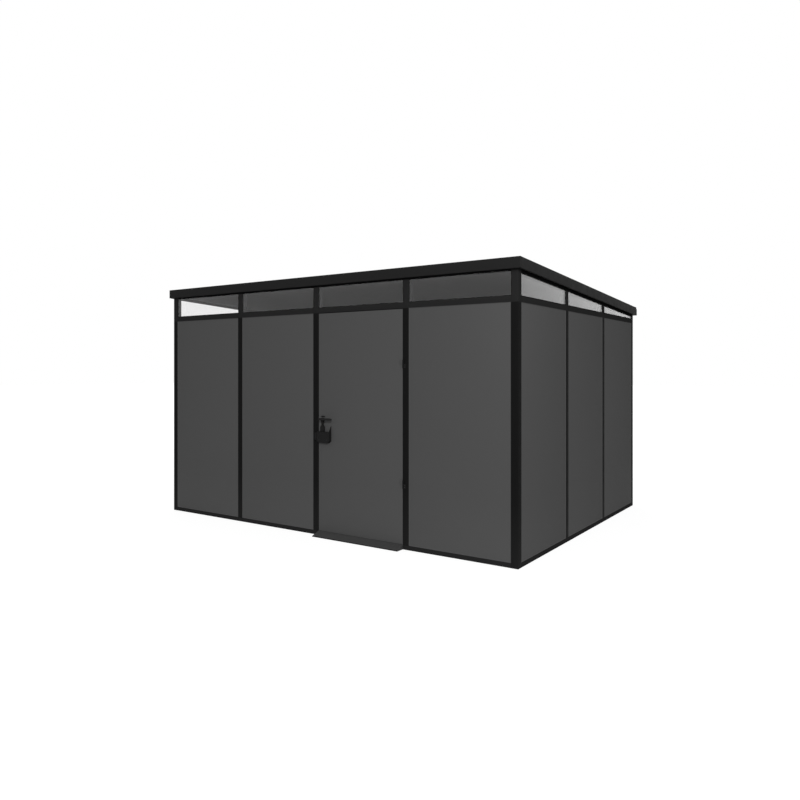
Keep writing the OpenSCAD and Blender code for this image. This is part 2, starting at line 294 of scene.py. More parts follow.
# %% Lamps: target, way to the lamp, distance, level at the target and width
CORNER = Vector((east, south, transom_top))
MIDDLE = Vector((0, 0, 1))
LAMPS = {
    "key": (CORNER, Vector((0.45, -0.6, 0.25)), 20, 0.59, 2.5),
    "back_fill": (MIDDLE, Vector((-0.6, 0.7, 0.5)), 12, 0.35, 4),
    "corner_fill": (CORNER, Vector((0.5, -0.55, 0.5)), 1.4, 0.28, 0.6),
}


def lamp(name, target, way, distance, level, size):
    """A round lamp that lights a facing surface at the target to the given level."""
    away = way.normalized()
    data = bpy.data.lights.new(name, "AREA")
    data.shape = "DISK"
    data.size = size
    data.energy = level * (math.pi * distance) ** 2
    made = bpy.data.objects.new(name, data)
    made.location = target + away * distance
    made.rotation_euler = away.to_track_quat("Z", "Y").to_euler()
    made.visible_camera = False
    bpy.context.scene.collection.objects.link(made)
    print(f"{name}: {data.energy:.0f} W at {distance} m")


for name, settings in LAMPS.items():
    lamp(name, *settings)

# %% [markdown]
# ## Nodes
# Finishes are made from nodes, so two tiny helpers keep each recipe readable: one adds a node
# and wires or sets its sockets, the other starts a material. Textures read object coordinates,
# which are metres here, so a grain of one millimetre really is one millimetre.


# %% Node helpers
NOISE_RANGE = (0.3, 0.7)


def node(tree, kind, inputs=None, **settings):
    """Add a node; sockets given as inputs are wired, and plain values are set."""
    made = tree.nodes.new("ShaderNode" + kind)
    for key, value in settings.items():
        setattr(made, key, value)
    for key, value in (inputs or {}).items():
        if isinstance(value, bpy.types.NodeSocket):
            tree.links.new(value, made.inputs[key])
        else:
            made.inputs[key].default_value = value
    return made.outputs


def remap(tree, value, low, high, start=0.0, end=1.0):
    """Stretch a value from one range to another."""
    inputs = {"Value": value, "From Min": start, "From Max": end, "To Min": low, "To Max": high}
    return node(tree, "MapRange", inputs)[0]


def noise(tree, scale, detail=2, stretch=(1, 1, 1)):
    """Object-space noise with an average of one half, stretched along the axes."""
    place = node(tree, "TexCoord")["Object"]
    if stretch != (1, 1, 1):
        place = node(tree, "VectorMath", {0: place, 1: stretch}, operation="MULTIPLY")[0]
    return node(tree, "TexNoise", {"Vector": place, "Scale": scale, "Detail": detail})[0]


def start_material(name):
    """An empty node tree with its output, and the material it belongs to."""
    material = bpy.data.materials.new(name)
    material.use_nodes = True
    tree = material.node_tree
    tree.nodes.clear()
    return material, tree, tree.nodes.new("ShaderNodeOutputMaterial").inputs["Surface"]


print("noise mostly lies between", *NOISE_RANGE)


# %% [markdown]
# ## World and floor
# The house stands alone on white. The world is plain white wherever the camera, a reflection or a
# window looks at it, and dimmer where it lights the house, so that dark paint stays dark. The
# floor does the same: it looks white, still takes the shadow of the house, and throws back only
# a little light.

# %% World
AMBIENT = 0.6


def seen_directly(tree):
    """One for rays from the camera, from reflections and through glass, else nought."""
    path = node(tree, "LightPath")
    seen = path["Is Camera Ray"]
    for kind in ("Is Glossy Ray", "Is Transmission Ray"):
        seen = node(tree, "Math", {0: seen, 1: path[kind]}, operation="MAXIMUM")[0]
    return seen


world = bpy.data.worlds.new("white_studio")
world.use_nodes = True
world_tree = world.node_tree
world_tree.nodes.clear()
world_level = remap(world_tree, seen_directly(world_tree), AMBIENT, 1.0)
sky = node(world_tree, "Background", {"Color": (1, 1, 1, 1), "Strength": world_level})
world_out = world_tree.nodes.new("ShaderNodeOutputWorld")
world_tree.links.new(sky[0], world_out.inputs["Surface"])
bpy.context.scene.world = world
bpy.context.scene.view_settings.view_transform = "Standard"
print("world lights at", AMBIENT)

# %% Floor
FLOOR_GLOW = 0.87
GLOW_RANGE = (6, 20)
NEAR_BOUNCE = 1.0
FAR_BOUNCE = 0.5
BOUNCE_RANGE = (2, 6)
FLOOR_TONE = 0.22
FLOOR_HALF = 60
floor_paint, floor_tree, floor_surface = start_material("studio_floor")
from_house = node(floor_tree, "TexCoord")["Object"]
away = node(floor_tree, "VectorMath", {0: from_house}, operation="LENGTH")["Value"]
whiter = remap(floor_tree, away, FLOOR_GLOW, 1.0, *GLOW_RANGE)
seen = seen_directly(floor_tree)
glow_level = node(floor_tree, "Math", {0: seen, 1: whiter}, operation="MULTIPLY")[0]
glow = node(floor_tree, "Emission", {"Color": (1, 1, 1, 1), "Strength": glow_level})
bounce = remap(floor_tree, away, NEAR_BOUNCE, FAR_BOUNCE, *BOUNCE_RANGE)
floor_tone = node(floor_tree, "Mix", {0: seen, 2: bounce, 3: FLOOR_TONE}, data_type="FLOAT")[0]
matt = node(floor_tree, "BsdfDiffuse", {"Color": floor_tone})
both = node(floor_tree, "AddShader", {0: glow[0], 1: matt[0]})
floor_tree.links.new(both[0], floor_surface)

floor_mesh = bpy.data.meshes.new("studio_floor")
floor_points = [(x, y, 0) for x, y in oblong(-FLOOR_HALF, FLOOR_HALF, -FLOOR_HALF, FLOOR_HALF)]
floor_mesh.from_pydata(floor_points, [], [(0, 1, 2, 3)])
floor_mesh.materials.append(floor_paint)
studio_floor = bpy.data.objects.new("studio_floor", floor_mesh)
bpy.context.scene.collection.objects.link(studio_floor)
print(f"studio floor {2 * FLOOR_HALF} m wide")


# %% [markdown]
# ## Painted and moulded finishes
# Powder paint and moulded sheet look flat from afar and never are: the coat has a fine orange
# peel, the tone drifts a little over a metre, and handling polishes it in patches. Near the
# ground the tone is also painted lighter, a painted light that stands in for the light thrown up
# by the floor. One recipe with different numbers makes all of them, which keeps the dark
# metals related to each other.


# %% One recipe for every coat
# Height up to which the tone is painted lighter: painted light from the floor.
PAINTED_GROUND_LIGHT_TOP = 0.5
DRIFT_SCALE = 0.9
PATCH_SCALE = 14
WEAR = 0.07


def coat(
    name,
    tone,
    roughness,
    specular,
    grain=900,
    peel=0.03 * MM,
    drift=0.02,
    streak=(1, 1, 1),
    painted_ground_light=0.03,
):
    """Paint or moulded sheet: tone is linear, grain is in dents per metre, peel is their depth.

    Drift is the change of tone over a metre. The last argument is the gain of tone at the
    ground: painted light, standing in for light thrown up by the floor.
    """
    material, tree, surface = start_material(name)
    slow = noise(tree, DRIFT_SCALE, 3, streak)
    fine = noise(tree, grain)
    patch = noise(tree, PATCH_SCALE, 4, streak)
    height = node(tree, "SeparateXYZ", {0: node(tree, "TexCoord")["Object"]})[2]
    # Painted light: the tone rises towards the ground, standing in for light thrown up by the
    # floor.
    ground_light_gain = remap(tree, height, 1 + painted_ground_light, 1.0, 0.0, PAINTED_GROUND_LIGHT_TOP)
    shade = remap(tree, slow, 1 - drift, 1 + drift, *NOISE_RANGE)
    speck = remap(tree, fine, 1 - drift / 2, 1 + drift / 2, *NOISE_RANGE)
    level = node(tree, "Math", {0: shade, 1: speck}, operation="MULTIPLY")[0]
    level = node(tree, "Math", {0: level, 1: ground_light_gain}, operation="MULTIPLY")[0]
    colour = node(tree, "VectorMath", {0: (tone,) * 3, "Scale": level}, operation="SCALE")[0]
    worn = remap(tree, patch, roughness - WEAR, roughness + WEAR, *NOISE_RANGE)
    bumps = node(tree, "Bump", {"Height": fine, "Distance": peel, "Strength": 1.0})[0]
    inputs = {"Base Color": colour, "Roughness": worn, "Normal": bumps}
    inputs["Specular IOR Level"] = specular
    shader = node(tree, "BsdfPrincipled", inputs)
    tree.links.new(shader[0], surface)
    print(f"{name}: tone {tone:.3f}")
    return material


# %% Finishes of the walls: tone, roughness, specular, grain, peel, drift and streak
# The last number of a coat paints light near the ground: the panels get a little and the posts
# much.
panel_sheet = coat("panel_sheet", 0.071, 0.8, 0.0, 700, 0.02 * MM, 0.012, painted_ground_light=0.07)
post_paint = coat("post_paint", 0.008, 0.5, 0.005, painted_ground_light=0.6)
# The posts beside the windows and the transoms' frame paint are one paint in two copies. Their
# tones were set apart to match the light and shade on each, which is painted light and shade,
# though the two tones now nearly agree.
window_paint = coat("window_paint", 0.017, 0.5, 0.0)
frame_paint = coat("frame_paint", 0.0175, 0.5, 0.0)
base_paint = coat("base_paint", 0.017, 0.5, 0.0)
# Painted shade: the head rails take a black darker than the posts', partly their own black and
# partly the shade under the fascia.
head_paint = coat("head_paint", 0.006, 0.6, 0.0)
lining_trim = coat("lining_trim", 0.03, 0.6, 0.0, 500, 0.05 * MM)
rubber = coat("rubber", 0.006, 0.75, 0.01, 400, 0.05 * MM, 0.03)

# %% Finishes of the roof, the lock and the floor, in the same order
fascia_paint = coat("fascia_paint", 0.016, 0.45, 0.01)
roof_sheet = coat("roof_sheet", 0.034, 0.7, 0.04, 600, 0.03 * MM, 0.02)
liner_sheet = coat("liner_sheet", 0.2, 0.6, 0.0, 500, 0.05 * MM)
lock_paint = coat("lock_paint", 0.012, 0.42, 0.02, 1200, 0.02 * MM, 0.04)
lever_paint = coat("lever_paint", 0.014, 0.36, 0.03, 1200, 0.02 * MM, 0.04)
ramp_paint = coat("ramp_paint", 0.046, 0.5, 0.06, 500, 0.08 * MM, 0.08, (1, 6, 1))
deck_sheet = coat("deck_sheet", 0.25, 0.6, 0.2, 400, 0.12 * MM, 0.08, (1, 8, 1))

# %% [markdown]
# ## Steel
# Hinge pins and screw heads are zinc-plated steel, blackened by the maker. A metallic shader with
# a stretched noise gives the faint turned rings that a lathe leaves.

# %% Blackened steel
ZINC_TONE = (0.035, 0.035, 0.037, 1)
TURNING_DEPTH = 0.02 * MM
TURNING_SCALE = 60
TURNING_STRETCH = (1, 1, 25)
STEEL_METALLIC = 0.7
STEEL_ROUGHNESS = (0.34, 0.5)
steel, steel_tree, steel_surface = start_material("black_zinc")
turned = noise(steel_tree, TURNING_SCALE, 3, TURNING_STRETCH)
steel_shader = node(
    steel_tree,
    "BsdfPrincipled",
    {
        "Base Color": ZINC_TONE,
        "Metallic": STEEL_METALLIC,
        "Roughness": remap(steel_tree, turned, *STEEL_ROUGHNESS, *NOISE_RANGE),
        "Normal": node(steel_tree, "Bump", {"Height": turned, "Distance": TURNING_DEPTH})[0],
    },
)
steel_tree.links.new(steel_shader[0], steel_surface)
print("black_zinc: tone", ZINC_TONE[0])

# %% [markdown]
# ## Window sheet
# The panes are clear sheets that show the ceiling when they are looked at square on, and turn
# into mirrors for the white sky at a flat angle. A see-through shader mixed with a glossy one
# does this without bending the light, so sun and sky still reach the room. Facing, which is nought
# square on and one at a grazing angle, drives the mix.

# %% Window sheet
MIRROR_LEAST = 0.031
MIRROR_RISE = 1.68
MIRROR_POWER = 5.1
SHEET_TINT = (0.965, 0.965, 0.965, 1)
SMEARS = (0.03, 0.09)
SMEAR_SCALE = 5
window_sheet, glass_tree, glass_surface = start_material("window_sheet")
facing = node(glass_tree, "LayerWeight", {"Blend": 0.5})["Facing"]
grazing = node(glass_tree, "Math", {0: facing, 1: MIRROR_POWER}, operation="POWER")[0]
mirror = remap(glass_tree, grazing, MIRROR_LEAST, MIRROR_LEAST + MIRROR_RISE)
smear_noise = noise(glass_tree, SMEAR_SCALE, 4, (1, 1, 2))
smears = remap(glass_tree, smear_noise, *SMEARS, *NOISE_RANGE)
clear = node(glass_tree, "BsdfTransparent", {"Color": SHEET_TINT})
shine = node(glass_tree, "BsdfGlossy", {"Color": (1, 1, 1, 1), "Roughness": smears})
mixed = node(glass_tree, "MixShader", {0: mirror, 1: clear[0], 2: shine[0]})
glass_tree.links.new(mixed[0], glass_surface)
print("window sheet mirrors", MIRROR_LEAST, "square on")


# %% [markdown]
# ## The four walls
# All four walls are made alike, so each is described once by the axis it runs along, the axis it
# faces, the place of its outer face and the way in. A point of a wall is then a run and a depth,
# and one recipe serves every wall. The bays between posts are what the panels and panes fill.

# %% Walls and their bays
WALLS = {
    "front": ("x", "y", south, 1, west, front_bays),
    "back": ("x", "y", north, -1, west, front_bays),
    "left": ("y", "x", west, 1, south, side_bays),
    "right": ("y", "x", east, -1, south, side_bays),
}
panel_low, panel_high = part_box("front_panel_left")
panel_depth = panel_low.y - south
panel_t = panel_high.y - panel_low.y
pane_low, pane_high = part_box("front_windows")
pane_depth = pane_low.y - south
pane_t = pane_high.y - pane_low.y


def bays(wall):
    """Start and end of every bay along a wall."""
    start, count = WALLS[wall][4:]
    return [(start + i * pitch + post, start + (i + 1) * pitch) for i in range(count)]


def inwards(wall, depth):
    """Coordinate of a depth behind the outer face of a wall."""
    return WALLS[wall][2] + WALLS[wall][3] * depth


def across(wall, outline):
    """An outline of depths and heights, set across the run of a wall."""
    return [(inwards(wall, depth), z) for depth, z in outline]


print({wall: len(bays(wall)) for wall in WALLS})

# %% [markdown]
# ## Posts
# A post is a drawn aluminium tube with small rounded arrises. Below the windows it is painted
# nearly black; beside the windows it belongs to the window frame, whose black is softer. Behind
# the panes a dark grey clip-on lining hides the tube, and the corner posts have their room-side
# corner cut off there, which opens the view past them from pane to pane. Each post is a bar lofted
# between two rings, and its head can follow the roof because a ring may rise with its place
# along the fall.

# %% Post measures and finishes
ARRIS = 2 * MM
LINING = 0.2 * MM
POST_LINING = pane_depth + 6 * MM
HEAD_LINING = pane_depth + 1 * MM
CORNER_CUT = 14 * MM
ROOM_CORNER = {"sw": 2, "se": 3, "nw": 1, "ne": 0}
# The second finish, for the posts beside the windows, carries painted light and shade.
POST_FINISHES = [post_paint, window_paint, lining_trim]
SEAT = 0.2 * MM
front_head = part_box("front_post")[1].z
print(f"linings start {POST_LINING / MM:.0f} mm behind the outer face of a post")


# %% Dress a post
def cut_corner(outline, at):
    """Cut one corner off an outline, or none."""
    if at is None:
        return outline
    corner = Vector(outline[at])
    ends = [Vector(outline[(at + step) % len(outline)]) for step in (-1, 1)]
    cut = [corner + (end - corner).normalized() * CORNER_CUT for end in ends]
    return outline[:at] + cut + outline[at + 1 :]


def dress_post(bm, x, y, foot, head, faces):
    """One post: head(y) is the height of its top, faces are the sides that look outdoors."""
    tube = oblong(x, x + post, y, y + post)
    bar(bm, rounded(tube, ARRIS), "z", foot, transom_low)
    upper = rounded(cut_corner(tube, ROOM_CORNER.get(faces)), ARRIS)
    loft(bm, [ring(upper, "z", transom_low), ring(upper, "z", 0, head)], 1)
    if not faces:
        return
    x0, x1, y0, y1 = x - LINING, x + post + LINING, y - LINING, y + post + LINING
    x0 = x + POST_LINING if "w" in faces else x0
    x1 = x + post - POST_LINING if "e" in faces else x1
    y0 = y + POST_LINING if "s" in faces else y0
    y1 = y + post - POST_LINING if "n" in faces else y1
    lining = rounded(cut_corner(oblong(x0, x1, y0, y1), ROOM_CORNER.get(faces)), ARRIS)
    loft(bm, [ring(lining, "z", transom_top), ring(lining, "z", -LINING, head)], 2)


print("a cut square has", len(cut_corner(oblong(0, 1, 0, 1), 0)), "corners")


# %% Dress all the posts of a node
def dress_posts(name, places, foot, head, faces=""):
    """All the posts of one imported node."""
    bm = bmesh.new()
    for x, y in places:
        dress_post(bm, x, y, foot, head, faces)
    dress(name, bm, POST_FINISHES, "post")


def under_roof(drop=0.0):
    """Heights that follow the roof at a distance below it."""
    return lambda y: roof_under(y) - drop


def level(height):
    """A head that stays at one height."""
    return lambda y: height


print(f"front posts reach {front_head:.3f} m")


# %% Corner posts, on the ground
for side, x, way in (("left", west, "w"), ("right", east - post, "e")):
    for end, y, facing_way in (("front", south, "s"), ("back", north - post, "n")):
        corner_post = f"corner_post_{end}_{side}"
        dress_posts(corner_post, [(x, y)], 0.0, under_roof(SEAT), facing_way + way)

# %% Posts between the bays, on the base rail
for name in ("front_post", "lock_post", "hinge_post"):
    dress_posts(name, [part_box(name)[0].xy], sill, level(front_head), "s")
side_rows = [south + i * pitch for i in range(1, side_bays)]
back_rows = [west + i * pitch for i in range(1, front_bays)]
for side, x, way in (("left", west, "w"), ("right", east - post, "e")):
    places = [(x, y) for y in side_rows]
    dress_posts(side + "_posts", places, sill, under_roof(HEAD_H[side]), way)
dress_posts("back_posts", [(x, north - post) for x in back_rows], sill, level(transom_top))

# %% [markdown]
# ## Rails
# Base rails and transoms are pressed sections whose top slopes outwards, so that rain runs off
# instead of lying against the panel or the pane. That slope also catches the light as a thin,
# paler line along each rail, which a plain box would miss. Head rails close the top of the walls
# and follow the roof. The one on the left is a little shallower than its solid, so that the panes
# on that side reach higher.

# %% Base rails and transoms
LEDGE_SLOPE = 0.6
RAIL_ARRIS = 1.5 * MM


def rail_section(low, high, ledge):
    """Outline of a rail: depth and height, with a sloping ledge in front of what it carries."""
    top = [(post, high), (ledge, high), (0, high - LEDGE_SLOPE * ledge)]
    return rounded([(0, low), (post, low)] + top, RAIL_ARRIS, 2)


for wall, (run, _, _, _, start, count) in WALLS.items():
    bm = bmesh.new()
    section = across(wall, rail_section(0, sill, panel_depth))
    bar(bm, section, run, start + post, start + count * pitch)
    dress("base_rail_" + wall, bm, [base_paint], "rail")
    bm = bmesh.new()
    ledge = panel_depth if wall == "back" else pane_depth
    section = across(wall, rail_section(transom_low, transom_top, ledge))
    for low, high in bays(wall):
        bar(bm, section, run, low, high)
    dress("transom_" + wall, bm, [frame_paint], "rail")

# %% Head rails under the roof
# The head rails' outer black is partly painted shade from the fascia overhead.
HEAD_FINISHES = [head_paint, lining_trim]
for wall in ("front", "back"):
    name = "head_rail_" + wall
    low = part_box(name)[0].z
    run = west + post, east - post
    ys = [inwards(wall, depth) for depth in (0, post)]
    heads = [(y, roof_under(y) - SEAT) for y in reversed(ys)]
    bm = bmesh.new()
    bar(bm, rounded([(y, low) for y in ys] + heads, RAIL_ARRIS, 2), "x", *run)
    backs = [inwards(wall, depth) for depth in (HEAD_LINING, post + LINING)]
    lining = [(y, low - LINING) for y in backs]
    lining += [(y, roof_under(y) - LINING) for y in reversed(backs)]
    bar(bm, lining, "x", *run, 1)
    dress(name, bm, HEAD_FINISHES, "rail")
for wall in ("left", "right"):
    run = south + post, north - post
    bm = bmesh.new()
    section = across(wall, oblong(0, post, -HEAD_H[wall], -SEAT))
    bar(bm, rounded(section, RAIL_ARRIS, 2), "y", *run, 0, roof_under)
    lining = across(wall, oblong(HEAD_LINING, post + LINING, -HEAD_H[wall] - LINING, -LINING))
    bar(bm, lining, "y", *run, 1, roof_under)
    dress("head_rail_" + wall, bm, HEAD_FINISHES, "rail")

# %% [markdown]
# ## Wall panels
# The panels are stiff moulded sheets that slide into the posts. A narrow turned-up lip in the same
# grey closes the joint to the post, and a black bead holds each panel from the inside. The sheet
# is lofted from inset rings, and a mitred frame of three rings gives the lip or the bead.

# %% Panels with lips and inner beads
PANEL_EASE = 1.5 * MM
LIP_W = 5 * MM
LIP_D = 3.4 * MM
BEAD = 12 * MM


def wedge(wall, depth, width, height):
    """Section of a three-cornered strip that stands on a face and leans on its frame."""
    face, up = inwards(wall, depth), inwards(wall, depth + height)
    return [(0, face), (width, face), (0, up)]


def dress_panel(bm, wall, low, high):
    """One panel in its bay, with a lip in front and a bead behind."""
    facing_axis = WALLS[wall][1]
    outline = oblong(low, high, sill, transom_low)
    back = panel_depth + panel_t
    section = eased(inwards(wall, back), inwards(wall, panel_depth), PANEL_EASE)
    plate(bm, outline, section, facing_axis)
    moulding(bm, outline, wedge(wall, panel_depth, LIP_W, -LIP_D), facing_axis)
    moulding(bm, outline, wedge(wall, back, BEAD, BEAD), facing_axis, 1)


PANEL_FINISHES = [panel_sheet, frame_paint]
front_panels = ["front_panel_left", "front_panel_middle", None, "front_panel_right"]
for name, (low, high) in zip(front_panels, bays("front")):
    if name:
        bm = bmesh.new()
        dress_panel(bm, "front", low, high)
        dress(name, bm, PANEL_FINISHES, "panel")
for wall in ("back", "left", "right"):
    bm = bmesh.new()
    for low, high in bays(wall):
        dress_panel(bm, wall, low, high)
    dress(wall + "_panels", bm, PANEL_FINISHES, "panel")

# %% [markdown]
# ## Windows
# Each pane is a separate oblong or wedge of clear sheet between the transom and the head rail. It
# is a thin closed slab, so that it casts and mirrors like a real sheet. Fine outer gaskets and
# dark grey inner beads stand round every pane, and they are made on the same outline as the pane.

# %% Panes and beads
PANE_GASKET = 1 * MM
PANE_BEAD = 3 * MM


def dress_window(panes, beads, wall, outline):
    """One pane, with its gasket in front and its bead behind."""
    facing_axis = WALLS[wall][1]
    back = pane_depth + pane_t
    faces = [(0, inwards(wall, pane_depth)), (0, inwards(wall, back))]
    plate(panes, outline, faces, facing_axis)
    gasket = wedge(wall, pane_depth, PANE_GASKET, -PANE_GASKET)
    moulding(beads, outline, gasket, facing_axis, 0)
    moulding(beads, outline, wedge(wall, back, PANE_BEAD, PANE_BEAD), facing_axis, 1)


def pane_outline(wall, low, high):
    """A pane's outline: level at the front, under the sloping rail at the sides."""
    heads = [front_head, front_head]
    if wall != "front":
        heads = [roof_under(y) - HEAD_H[wall] for y in (high, low)]
    return [(low, transom_top), (high, transom_top), (high, heads[0]), (low, heads[1])]


for wall in ("front", "left", "right"):
    panes, beads = bmesh.new(), bmesh.new()
    for low, high in bays(wall):
        dress_window(panes, beads, wall, pane_outline(wall, low, high))
    windows = wall + "_windows"
    piece("clear_" + windows, panes, [window_sheet], "house", "window", windows)
    piece("beads_of_" + windows, beads, [rubber, lining_trim], "house", "rail")

# %% [markdown]
# ## Roof
# Foam-filled roof panels lie side by side and fall to the back. Their top skin has shallow ribs
# that stiffen it and lead the rain, a pale lining board closes the ceiling inside the walls, and
# a capped strip with sealed screws covers each joint. A bar that rises with the roof makes all
# of these: only the outline across the fall changes.

# %% Roof panels
CEILING_T = 1 * MM
JOINT = 0.1 * MM
RIB_PITCH = 77 * MM
RIB_H = 2 * MM
RIB_TOP = 8 * MM
RIB_FOOT = 16 * MM
RIB_LINE = ((RIB_FOOT, 0), (RIB_TOP, RIB_H), (-RIB_TOP, RIB_H), (-RIB_FOOT, 0))
seam_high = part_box("roof_seams")[1]
roof_run = roof_low.y, roof_high.y
roof_t = roof_high.z - roof_under(roof_low.y)
seam_t = seam_high.z - roof_under(roof_low.y)
seam_lines = [west + i * pitch + post / 2 for i in range(1, front_bays)]
seam_w = 2 * (seam_high.x - seam_lines[-1])


def ribbed_top(x0, x1):
    """The top line of a roof panel, from its right edge to its left one."""
    count = round((x1 - x0) / RIB_PITCH) - 1
    line = [(x1, roof_t)]
    for i in range(count, 0, -1):
        middle = x0 + (x1 - x0) * i / (count + 1)
        line += [(middle + offset / 2, roof_t + lift) for offset, lift in RIB_LINE]
    return line + [(x0, roof_t)]


edges = [roof_low.x] + [x + side * seam_w / 2 for x in seam_lines for side in (-1, 1)]
edges.append(roof_high.x)
bm = bmesh.new()
for x0, x1 in zip(edges[::2], edges[1::2]):
    bar(bm, [(x0, 0), (x1, 0)] + ribbed_top(x0, x1), "y", *roof_run, 0, roof_under)
    room_x0 = max(x0 - seam_w / 2, west + post) + JOINT
    room_x1 = min(x1 + seam_w / 2, east - post) - JOINT
    board = rounded(oblong(room_x0, room_x1, -CEILING_T, 0), CEILING_T / 4, 2)
    bar(bm, board, "y", south + post, north - post, 1, roof_under)
dress("roof_panels", bm, [roof_sheet, liner_sheet], "roof")

# %% Joint strips with sealed screws
SCREW_STEP = 0.38
CAP_EASE = 4 * MM
WASHER_R = 8 * MM
ROOF_SCREW_R = 5 * MM
bm = bmesh.new()
for x in seam_lines:
    cap = oblong(x - seam_w / 2, x + seam_w / 2, 0, seam_t)
    bar(bm, rounded(cap, CAP_EASE), "y", *roof_run, 0, roof_under)
    count = round((roof_run[1] - roof_run[0]) / SCREW_STEP)
    for i in range(count):
        y = roof_run[0] + (i + 0.5) * (roof_run[1] - roof_run[0]) / count
        top = roof_under(y) + seam_t
        plate(bm, circle(x, y, WASHER_R), [(0, top - MM), (0, top + MM)], "z", 1)
        screw(bm, (x, y, top + MM), "z", 1, ROOF_SCREW_R, 2)
dress("roof_seams", bm, [fascia_paint, rubber, steel], "fascia")

# %% [markdown]
# ## Fascia
# Folded metal boards hide the edge of the roof. The front and back boards run the full width and
# the side boards, which follow the fall, stop behind them. Their arrises are rounded where the
# sheet is folded.

# %% Fascia boards
FOLD = 1.5 * MM
END_EASE = 2 * MM
for name in ("fascia_front", "fascia_back"):
    low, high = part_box(name)
    bm = bmesh.new()
    section = oblong(low.y, high.y, low.z, high.z)
    ends = [(END_EASE, low.x), (0, low.x + END_EASE), (0, high.x - END_EASE), (END_EASE, high.x)]
    plate(bm, section, ends, "x", 0, FOLD)
    dress(name, bm, [fascia_paint], "fascia")
fascia_drop = roof_under(front_fascia_low.y) - front_fascia_low.z
for name in ("fascia_left", "fascia_right"):
    low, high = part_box(name)
    bm = bmesh.new()
    section = rounded(oblong(low.x, high.x, -fascia_drop, fascia_h - fascia_drop), FOLD)
    bar(bm, section, "y", low.y, high.y, 0, roof_under)
    dress(name, bm, [fascia_paint], "fascia")

# %% [markdown]
# ## Floor and ramp
# The floor is a deck of grooved boards, and the ramp a folded tread plate whose ribs keep a
# barrow's wheel from slipping. Both are a single outline with a repeated tooth, pushed along the
# front, because ribs made of real faces still read when the light rakes across them. A thin plate
# in the ramp's finish covers the base rail where feet cross it.

# %% Deck
BOARD_W = 121 * MM
BOARD_GAP = 4 * MM
GAP_D = 8 * MM
GROOVES = 6
GROOVE_D = 1.5 * MM
GROOVE_HALF = 2 * MM
deck_low, deck_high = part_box("floor")


def deck_line():
    """The deck's top line from back to front: grooved boards with gaps between them."""
    count = round((deck_high.y - deck_low.y) / BOARD_W)
    width = (deck_high.y - deck_low.y) / count
    step = (width - BOARD_GAP) / (GROOVES + 1)
    line = []
    for board in range(count):
        back = deck_high.y - board * width
        front = back - width
        line.append((back, deck_high.z))
        for i in range(1, GROOVES + 1):
            middle = back - i * step
            for offset, depth in ((GROOVE_HALF, 0), (0, GROOVE_D), (-GROOVE_HALF, 0)):
                line.append((middle + offset, deck_high.z - depth))
        line.append((front + BOARD_GAP, deck_high.z))
        line.append((front + BOARD_GAP, deck_high.z - GAP_D))
        line.append((front, deck_high.z - GAP_D))
    return line


bm = bmesh.new()
underside = [(deck_low.y, deck_low.z), (deck_high.y, deck_low.z)]
bar(bm, underside + deck_line(), "x", deck_low.x, deck_high.x)
piece("grooved_deck", bm, [deck_sheet], "house", "floor", "floor")

# %% Ramp
TREADS = 7
TREAD_H = 1.2 * MM
TREAD_W = 3 * MM
TREAD_STEPS = ((-1, 0), (-0.5, 1), (0.5, 1), (1, 0))
EDGE_T = 2 * MM
EDGE_H = 8 * MM
EDGE_EASE = 0.8 * MM
ramp_low, ramp_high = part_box("threshold_ramp")
ramp_foot = ramp_low.y + EDGE_T
ramp_run = ramp_high.y - ramp_foot
ramp_fall = (ramp_high.z - EDGE_H) / ramp_run


def tread_line():
    """The ramp's top line from foot to head, with a low rib for every tread."""
    tread_at = [ramp_foot + ramp_run * (i + 1) / (TREADS + 1) for i in range(TREADS)]
    steps = [(y + side * TREAD_W, lift) for y in tread_at for side, lift in TREAD_STEPS]
    line = [(ramp_foot, 0)] + steps + [(ramp_high.y, 0)]
    return [(y, EDGE_H + ramp_fall * (y - ramp_foot) - TREAD_H * (1 - lift)) for y, lift in line]


bm = bmesh.new()
underside = [(ramp_high.y, 0), (ramp_foot, 0)]
bar(bm, underside + tread_line(), "x", ramp_low.x, ramp_high.x)
edge = rounded(oblong(ramp_low.y, ramp_foot, 0, EDGE_H), EDGE_EASE, 2)
bar(bm, edge, "x", ramp_low.x, ramp_high.x, 1)
print(f"ramp {ramp_run / MM:.0f} mm deep with {TREADS} treads")

# %% Sill plate, part of the ramp
SILL_T = 1 * MM
SILL_SHORT = 2 * MM
ledge_foot = sill - LEDGE_SLOPE * panel_depth
under = [(south + post - SILL_SHORT, sill), (south + panel_depth, sill), (south, ledge_foot)]
over = [(y, z + SILL_T) for y, z in under]
door_bay = bays("front")[front_panels.index(None)]
bar(bm, [under[0]] + over + under[:0:-1], "x", *door_bay)
piece("tread_ramp", bm, [ramp_paint, post_paint], "house", "ramp", "threshold_ramp")

# %% [markdown]
# ## Door
# The door is one panel in the same sheet as the walls, so only its dark gaps and its fittings
# show that it opens. A thin rebated lip narrows those gaps at the front, and its edges are rounded
# like the panels'. It closes against three stops behind it, and a soft half-round seal on each
# stop fills most of the gap that the hinges need.

